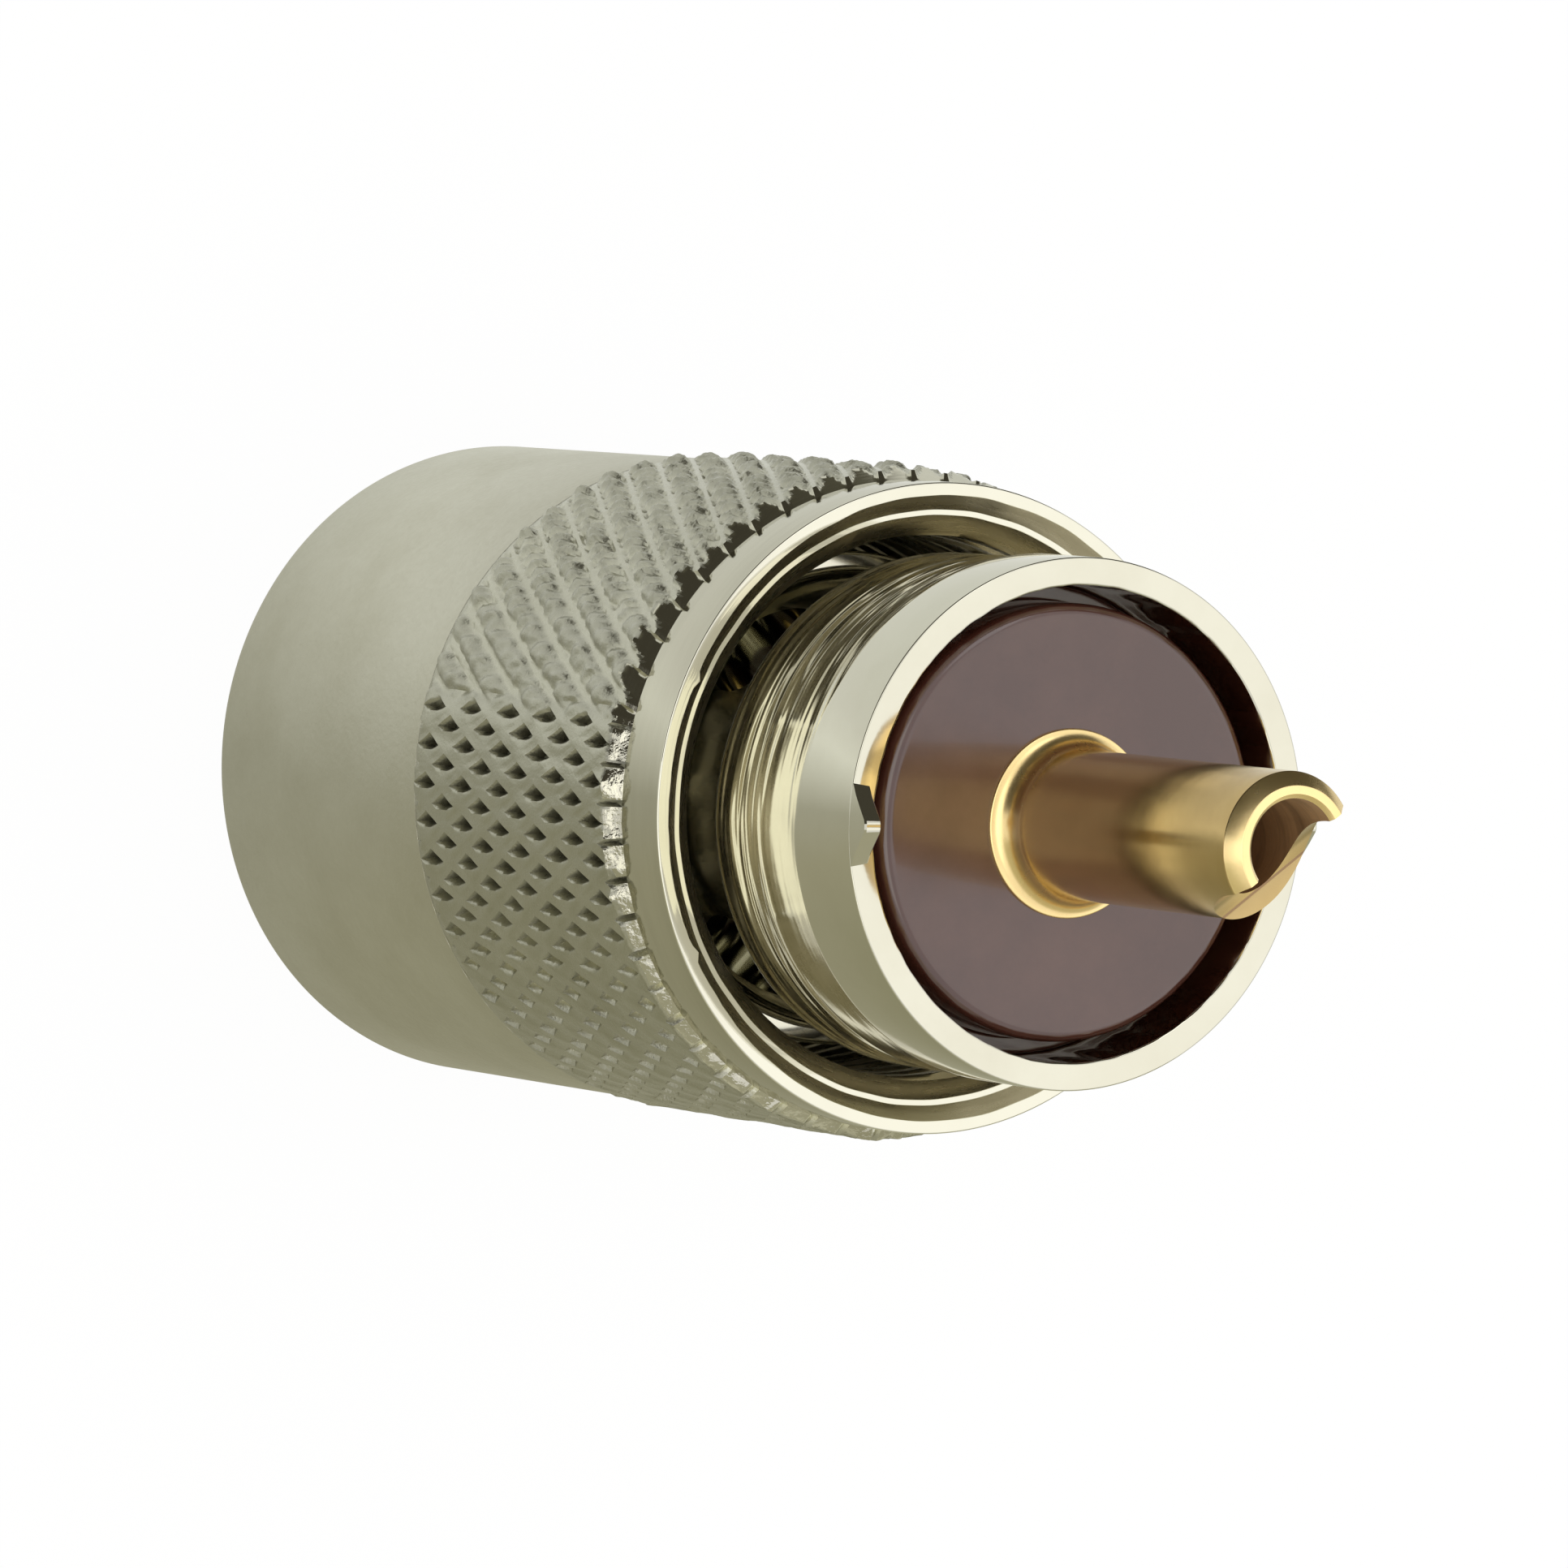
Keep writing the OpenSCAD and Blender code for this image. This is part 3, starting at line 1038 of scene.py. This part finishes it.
    def sunk(self, angle: np.ndarray) -> np.ndarray:
        """How much lower the worn crests of the underside lie."""
        return self.low_drop * self.past(angle, *self.low)

    def rope_rise(self, far: np.ndarray) -> np.ndarray:
        """Share of a rope's height, from how far points lie from the middle of the flat strip beside it."""
        return np.clip((far - self.rope_share) / self.rope_edge, 0, 1)

    def slants(self, column: np.ndarray, row: np.ndarray) -> tuple[np.ndarray, np.ndarray]:
        """Where points of the fine grid lie across the two sets of slanting crests, as shares of their pitch."""
        return np.mod((column - row) / self.fine / 2, 1.0), np.mod((column + row) / self.fine / 2, 1.0)

    def knurl_sink(self, column: np.ndarray, row: np.ndarray, angle: np.ndarray) -> np.ndarray:
        """How deep the rolled pattern lies: lumpy ropes on one side, and pits on the other.

        Args:
            column: Column numbers in the fine grid.
            row: Row numbers in the fine grid.
            angle: Angles round the axis, in radians.

        Returns:
            Depth below the crests.
        """
        high, low = self.slants(column, row)
        far_high, far_low = folded(high), folded(low)
        clean = self.pitted(angle)
        under = self.past(angle, *self.under)
        off_land = np.clip((far_high - self.land - self.low_land * under) / self.wall, 0, 1)
        off_cross = np.clip((far_low - self.cross_land - self.low_land * under) / self.wall, 0, 1)
        pits = np.minimum(self.depth * off_land, self.cross_drop + (self.depth - self.cross_drop) * off_cross)
        foot = np.clip((high + low - 1) * self.foot_slope, 0, 1) * (1 - under)
        pits = pits * (1 - self.foot_share * foot)
        beside = self.rope_rise(far_high)
        crown = np.clip((far_high - self.rope_share) / (1 - self.rope_share), 0, 1)
        waves = 0.5 - 0.5 * np.cos(2 * math.pi * (2 * low + self.wave_lean * crown))
        rolls = 0.5 - 0.5 * np.cos(math.pi * far_low)
        calm = 1 - self.calm_share * self.past(angle, *self.calm)
        dips = self.rope_dip * calm * (self.wave_share * waves + self.roll_share * rolls)
        rope = (1 - beside) * self.rope_groove + beside * (self.rope_round * (1 - crown) ** 2 + dips)
        return (1 - clean) * rope + clean * (pits + self.sunk(angle))

    def knurl(self) -> bpy.types.Object:
        """Builds the knurled sleeve.

        Returns:
            The sleeve.
        """
        columns = self.knurl_count * 2 * self.fine
        rows = self.knurl_rows * self.fine
        row, column = np.mgrid[0:rows + 1, 0:columns]
        z = self.knurl_rear + self.knurl_len * row / rows
        angle = 2 * math.pi * column / columns
        ropes = 1 - self.pitted(angle)
        sink = self.knurl_sink(column, row, angle)
        in_rope = self.rope_rise(folded(self.slants(column, row)[0]))
        rough = (1 - ropes) * self.lump + ropes * in_rope * self.rope_lump
        lumps = soft_noise(sink.shape, 1, 8) * self.grit_share + soft_noise(sink.shape, 2, 9) * self.bump_share
        radius = np.minimum(self.crest_r - sink + lumps * rough, self.crest_r + self.lump_cap)
        rear = eased((z - self.knurl_rear) / self.run_in)
        radius = radius * rear + (self.skirt_r - self.tuck) * (1 - rear)
        bevel = self.knurl_bevel + (self.rope_bevel - self.knurl_bevel) * ropes * in_rope
        rise = self.crest_r - self.collar_r + self.cone_sink
        cone = self.collar_r - self.cone_sink + (self.knurl_front - z) * rise / bevel
        bevelled = radius > cone - self.tuck
        skin = lumps * self.bevel_lump * (1 - ropes) * np.clip((self.knurl_front - z) / self.bevel_fade, 0, 1)
        radius = np.where(bevelled, np.minimum(radius, cone) + skin, radius)
        outer = np.stack([radius * np.cos(angle), radius * np.sin(angle), z], axis=-1)
        core = self.collar_r - self.sleeve_sink
        inner = [
            np.stack([core * np.cos(angle[0]), core * np.sin(angle[0]), np.full(columns, height)], axis=-1)
            for height in (self.knurl_front, self.knurl_rear)
        ]
        xyz = np.concatenate([outer, np.array(inner)])
        high, low = self.slants(column + 0.5, row + 0.5)
        along = (folded(high) < folded(low))[:-1]
        along = np.concatenate([along | (ropes[:-1] > 0.5), np.zeros((3, columns), bool)])
        draft = MeshDraft()
        draft.grid(xyz, along)
        sleeve = draft.made("coupling_ring_knurl")
        for finish in (KNURL_NICKEL, COLLAR_NICKEL, BEVEL_NICKEL):
            sleeve.data.materials.append(finish.material())
        next_column = np.roll(bevelled, -1, axis=1)
        on_bevel = bevelled[:-1] & bevelled[1:] & next_column[:-1] & next_column[1:]
        picked = np.where(on_bevel, np.where(ropes[:-1] > 0.5, 1, 2), 0)
        picked = np.concatenate([picked, np.zeros((3, columns), int)])
        sleeve.data.polygons.foreach_set("material_index", np.repeat(picked.ravel(), 2).astype(np.int32))
        # Painted light and shade go into the knurl's colour.
        shaded(sleeve, self.knurl_painted_light)
        return sleeve

    def knurl_painted_light(self, spots: np.ndarray) -> np.ndarray:
        """How bright the knurl is at each point, as painted light and shade: the pits round one side take painted shade
        and the other pits painted highlights, and the flat strips are painted lighter than the ropes.

        Args:
            spots: Points in millimetres.

        Returns:
            Share of the finish's colour.
        """
        angle = np.arctan2(spots[:, 1], spots[:, 0])
        reach = np.hypot(spots[:, 0], spots[:, 1])
        sink = (self.crest_r - self.sunk(angle) - reach) / self.depth
        sink = np.clip(sink * self.pit_gain - self.pit_start, 0, 1)
        row = (spots[:, 2] - self.knurl_rear) / self.knurl_len * self.knurl_rows / 2
        column = angle / (2 * math.pi) * self.knurl_count
        upper = np.mod(column - row, 1.0) + np.mod(column + row, 1.0) - 1
        near_skirt = np.clip((spots[:, 2] - self.knurl_rear) / self.knurl_bevel, 0, 1)
        # Painted shade in the pits round one side, darker in one half of each pit; painted highlights in the other
        # pits.
        pit_shade_mask = np.exp(-((off_by(angle, self.pit_shade_at) / self.pit_shade_half) ** 4))
        half_shade = self.half_shade_share - self.half_shade_drop * np.clip(upper * self.half_shade_gain, -0.5, 1)
        tone = self.pit_highlight_tone + (1 - (1 - self.pit_shade_tone) * half_shade - self.pit_highlight_tone) * pit_shade_mask
        clean = self.pitted(angle)
        # Painted highlight on the flat strips and painted shade on the raised ropes.
        raised = np.clip((reach - self.crest_r + self.rope_groove) / self.strip_edge, 0, 1)
        rope = self.strip_highlight_tone + (self.rope_shade_tone - self.strip_highlight_tone) * raised
        return 1 + ((tone - 1) * sink * clean + (rope - 1) * (1 - clean)) * near_skirt

    def build(self) -> list[bpy.types.Object]:
        """Builds and dresses the ring.

        Returns:
            The turned ring and its knurled sleeve.
        """
        draft = MeshDraft()
        draft.turned(self.outline(), self.segments, self.swell)
        turned = draft.made("coupling_ring_turned")
        for finish in (SATIN_NICKEL, POLISHED_NICKEL, COLLAR_NICKEL, BORE_NICKEL):
            turned.data.materials.append(finish.material())
        for polygon in turned.data.polygons:
            middle = polygon.center / MM
            reach = math.hypot(middle.x, middle.y)
            step = abs(middle.z - self.length + self.step_depth) < 0.06 and reach > self.thread_major_r - 0.05
            if middle.z > self.length - 0.06 or (step and reach < self.step_r + 0.02):
                polygon.material_index = 1
            elif reach > self.collar_r - 0.05 and middle.z > self.knurl_front - 0.2:
                polygon.material_index = 2
            elif reach < self.skirt_r - 0.35:
                polygon.material_index = 3
        sleeve = self.knurl()
        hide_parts("coupling_ring")
        for piece in (turned, sleeve):
            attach(piece, "ring")
        return [turned, sleeve]


def ray_test(tree: bpy.types.NodeTree, kinds: Sequence[str]) -> bpy.types.NodeSocket:
    """Adds a test for some kinds of ray.

    Args:
        tree: Nodes of a material or of the world.
        kinds: Names of Light Path's outputs.

    Returns:
        A socket that is 1 on any of those rays.
    """
    path = tree.nodes.new("ShaderNodeLightPath")
    found = path.outputs[kinds[0]]
    for kind in kinds[1:]:
        either = tree.nodes.new("ShaderNodeMath")
        either.operation = "MAXIMUM"
        tree.links.new(found, either.inputs[0])
        tree.links.new(path.outputs[kind], either.inputs[1])
        found = either.outputs[0]
    return found


def glowing(name: str) -> tuple[bpy.types.Material, bpy.types.Node]:
    """Makes a material that only glows.

    Args:
        name: Name of the material.

    Returns:
        The material and its glow.
    """
    material = bpy.data.materials.new(name)
    material.use_nodes = True
    nodes = material.node_tree.nodes
    nodes.remove(nodes["Principled BSDF"])
    glow = nodes.new("ShaderNodeEmission")
    material.node_tree.links.new(glow.outputs[0], nodes["Material Output"].inputs["Surface"])
    return material, glow


def square(half: float, height: float = 0.0) -> list[Point3]:
    """Corners of a level square round the axis, from half its side and its height."""
    return [(-half, -half, height), (half, -half, height), (half, half, height), (-half, half, height)]


def sheet(name: str, points: Sequence[Point3], faces: Sequence[tuple[int, ...]],
          material: bpy.types.Material) -> bpy.types.Object:
    """Makes a thin sheet of the studio.

    Args:
        name: Name of the sheet.
        points: Its corners, in millimetres.
        faces: Its faces.
        material: Its material.

    Returns:
        The sheet, linked to the scene.
    """
    mesh = bpy.data.meshes.new(name)
    mesh.from_pydata([(x * MM, y * MM, z * MM) for x, y, z in points], [], faces)
    mesh.materials.append(material)
    return linked(name, mesh)


@dataclass
class Studio:
    """Floor, lamps, reflection cards and camera."""

    eye: Point3 = (-156.66, 15.277, 277.556)
    right: Point3 = (0.85803, 0.02960, 0.51276)
    up: Point3 = (0.0, 0.99834, -0.05763)
    back: Point3 = (-0.51362, 0.04945, 0.85660)
    lens: float = 252.8
    sensor: float = 36.0
    near_clip: float = 0.01
    aim_z: float = 25.0
    room: Color = (0.9, 0.9, 0.88)
    room_strength: float = 0.6
    floor_half: float = 4000.0
    floor_color: Color = (0.86, 0.86, 0.86)
    floor_glow: float = 1.06
    floor_share: float = 0.88
    low_half: float = 600.0
    low_lift: float = 0.1
    ramp_half: float = 0.09
    side_reach: float = 300.0
    side_panels: int = 12

    def camera(self) -> None:
        """Places the camera at the photograph's viewing angle."""
        data = bpy.data.cameras.new("camera")
        data.lens = self.lens
        data.sensor_width = self.sensor
        data.clip_start = self.near_clip
        camera = linked("camera", data)
        turn = Matrix((self.right, self.up, self.back)).transposed().to_4x4()
        camera.matrix_world = Matrix.Translation(Vector(self.eye) * MM) @ turn
        bpy.context.scene.camera = camera

    def lamp(self, name: str, place: Point3, size: float, radiance: float, color: Color = (1, 1, 1)) -> None:
        """Adds a square lamp that faces the plug.

        Args:
            name: Name of the lamp.
            place: Centre of the lamp, in millimetres.
            size: Side of the lamp, in millimetres.
            radiance: Brightness of its face, where 1 is white.
            color: Colour of the light.
        """
        data = bpy.data.lights.new(name, "AREA")
        data.shape = "SQUARE"
        data.size = size * MM
        data.energy = radiance * math.pi * (size * MM) ** 2
        data.color = color
        lamp = linked(name, data)
        aim = Vector((0, 0, self.aim_z)) - Vector(place)
        lamp.matrix_world = Matrix.Translation(Vector(place) * MM) @ aim.to_track_quat("-Z", "Y").to_matrix().to_4x4()
        lamp.visible_camera = False

    def world(self) -> None:
        """Sets a white background and an even, plain light."""
        world = bpy.data.worlds.new("white_room")
        bpy.context.scene.world = world
        world.use_nodes = True
        nodes, links = world.node_tree.nodes, world.node_tree.links
        plain = nodes["Background"]
        plain.inputs["Color"].default_value = (*self.room, 1)
        plain.inputs["Strength"].default_value = self.room_strength
        white = nodes.new("ShaderNodeBackground")
        white.inputs["Color"].default_value = (1, 1, 1, 1)
        mix = nodes.new("ShaderNodeMixShader")
        seen = ray_test(world.node_tree, ("Is Camera Ray", "Is Glossy Ray", "Is Transmission Ray"))
        links.new(seen, mix.inputs[0])
        links.new(plain.outputs[0], mix.inputs[1])
        links.new(white.outputs[0], mix.inputs[2])
        links.new(mix.outputs[0], nodes["World Output"].inputs["Surface"])

    def floor(self) -> None:
        """Lays the pale floor that the plug stands on."""
        material, glow = glowing("pale_floor")
        nodes, links = material.node_tree.nodes, material.node_tree.links
        matt = nodes.new("ShaderNodeBsdfDiffuse")
        matt.inputs["Color"].default_value = (*self.floor_color, 1)
        glow.inputs["Strength"].default_value = self.floor_glow
        share = nodes.new("ShaderNodeMath")
        share.operation = "MULTIPLY"
        share.inputs[1].default_value = self.floor_share
        links.new(ray_test(material.node_tree, ("Is Camera Ray", "Is Glossy Ray")), share.inputs[0])
        mix = nodes.new("ShaderNodeMixShader")
        links.new(share.outputs[0], mix.inputs[0])
        links.new(matt.outputs[0], mix.inputs[1])
        links.new(glow.outputs[0], mix.inputs[2])
        links.new(mix.outputs[0], nodes["Material Output"].inputs["Surface"])
        floor = sheet("floor", square(self.floor_half), [(0, 1, 2, 3)], material)

    def card(self, name: str, points: Sequence[Point3], faces: Sequence[tuple[int, ...]],
             material: bpy.types.Material) -> None:
        """Adds a card that only reflections show.

        Args:
            name: Name of the card.
            points: Its corners, in millimetres.
            faces: Its faces.
            material: Its material.
        """
        card = sheet(name, points, faces, material)
        card.visible_camera = False
        card.visible_diffuse = False
        card.visible_shadow = False

    def low_card(self) -> None:
        """Lays the grey card round the plug that its walls reflect, shaded from one side to the other."""
        material, glow = glowing("grey_card")
        nodes, links = material.node_tree.nodes, material.node_tree.links
        place = nodes.new("ShaderNodeTexCoord")
        split = nodes.new("ShaderNodeSeparateXYZ")
        links.new(place.outputs["Object"], split.inputs[0])
        slide = added(nodes, "ShaderNodeMapRange", {"From Min": -self.ramp_half, "From Max": self.ramp_half})
        links.new(split.outputs["Y"], slide.inputs["Value"])
        ramp = nodes.new("ShaderNodeValToRGB")
        ramp.color_ramp.elements[0].color = (0.66, 0.65, 0.52, 1)
        ramp.color_ramp.elements[1].color = (0.07, 0.065, 0.05, 1)
        stops = (
            (0.23, (0.66, 0.65, 0.52)), (0.28, (0.36, 0.35, 0.24)), (0.333, (0.36, 0.35, 0.24)),
            (0.45, (0.45, 0.44, 0.33)), (0.5, (0.5, 0.5, 0.42)), (0.56, (0.98, 1.0, 0.95)), (0.595, (0.86, 0.87, 0.83)),
            (0.667, (0.84, 0.86, 0.82)), (0.733, (0.96, 0.97, 0.93)), (0.787, (0.12, 0.115, 0.085)),
        )
        for stop, shade in stops:
            ramp.color_ramp.elements.new(stop).color = (*shade, 1)
        links.new(slide.outputs["Result"], ramp.inputs["Fac"])
        links.new(ramp.outputs["Color"], glow.inputs["Color"])
        self.card("low_card", square(self.low_half, self.low_lift), [(0, 1, 2, 3)], material)

    def even_card(self, name: str, points: Sequence[Point3], faces: Sequence[tuple[int, ...]], color: Color) -> None:
        """Adds a card of one colour that only reflections show.

        Args:
            name: Name of the card.
            points: Its corners, in millimetres.
            faces: Its faces.
            color: Colour of the card.
        """
        material, glow = glowing(name)
        glow.inputs["Color"].default_value = (*color, 1)
        self.card(name, points, faces, material)

    def rim_card(self) -> None:
        """Hangs the bright card that lights the ring's rim in the barrel's reflections."""
        corners = [(-204, -150, 300), (-80, -150, 300), (-80, 150, 300), (-204, 150, 300)]
        self.even_card("rim_card", corners, [(0, 1, 2, 3)], (1.85, 1.85, 1.74))

    def side_card(self, name: str, start: float, end: float, low: float, high: float, color: Color) -> None:
        """Stands a curved card beside the plug, which its bevels reflect.

        Args:
            name: Name of the card.
            start: Angle where the card starts, in degrees from +X.
            end: Angle where it ends.
            low: Height of its lower edge, in millimetres.
            high: Height of its upper edge.
            color: Colour of the card.
        """
        panels = self.side_panels
        points = []
        for height in (low, high):
            for k in range(panels + 1):
                angle = math.radians(start + (end - start) * k / panels)
                points.append((self.side_reach * math.cos(angle), self.side_reach * math.sin(angle), height))
        faces = [(k, k + 1, k + panels + 2, k + panels + 1) for k in range(panels)]
        self.even_card(name, points, faces, color)

    def build(self) -> None:
        """Sets up everything round the plug."""
        self.camera()
        self.world()
        self.floor()
        self.low_card()
        self.rim_card()
        self.side_card("dark_card", 36, 170, 2, 260, (0.07, 0.065, 0.05))
        self.side_card("olive_card", 200, 325, 10, 215, (0.5, 0.49, 0.37))
        self.lamp("key", (60, 260, 330), 160, 0.8)
        self.lamp("top", (190, -20, 330), 300, 0.38, (1.0, 0.99, 0.93))
        self.lamp("front", (-220, 0, 330), 260, 0.6, (1.0, 0.99, 0.95))
        bpy.context.scene.view_settings.view_transform = "Standard"


def main() -> None:
    """Builds the plug and its studio."""
    logging.basicConfig(level=logging.INFO)
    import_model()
    for maker in (PlugBody(), Insulator(), ContactPin(), CouplingRing()):
        made = maker.build()
        for piece in made if isinstance(made, list) else [made]:
            log.info("%s: %d faces", piece.name, len(piece.data.polygons))
    Studio().build()


if __name__ == "__main__":
    main()
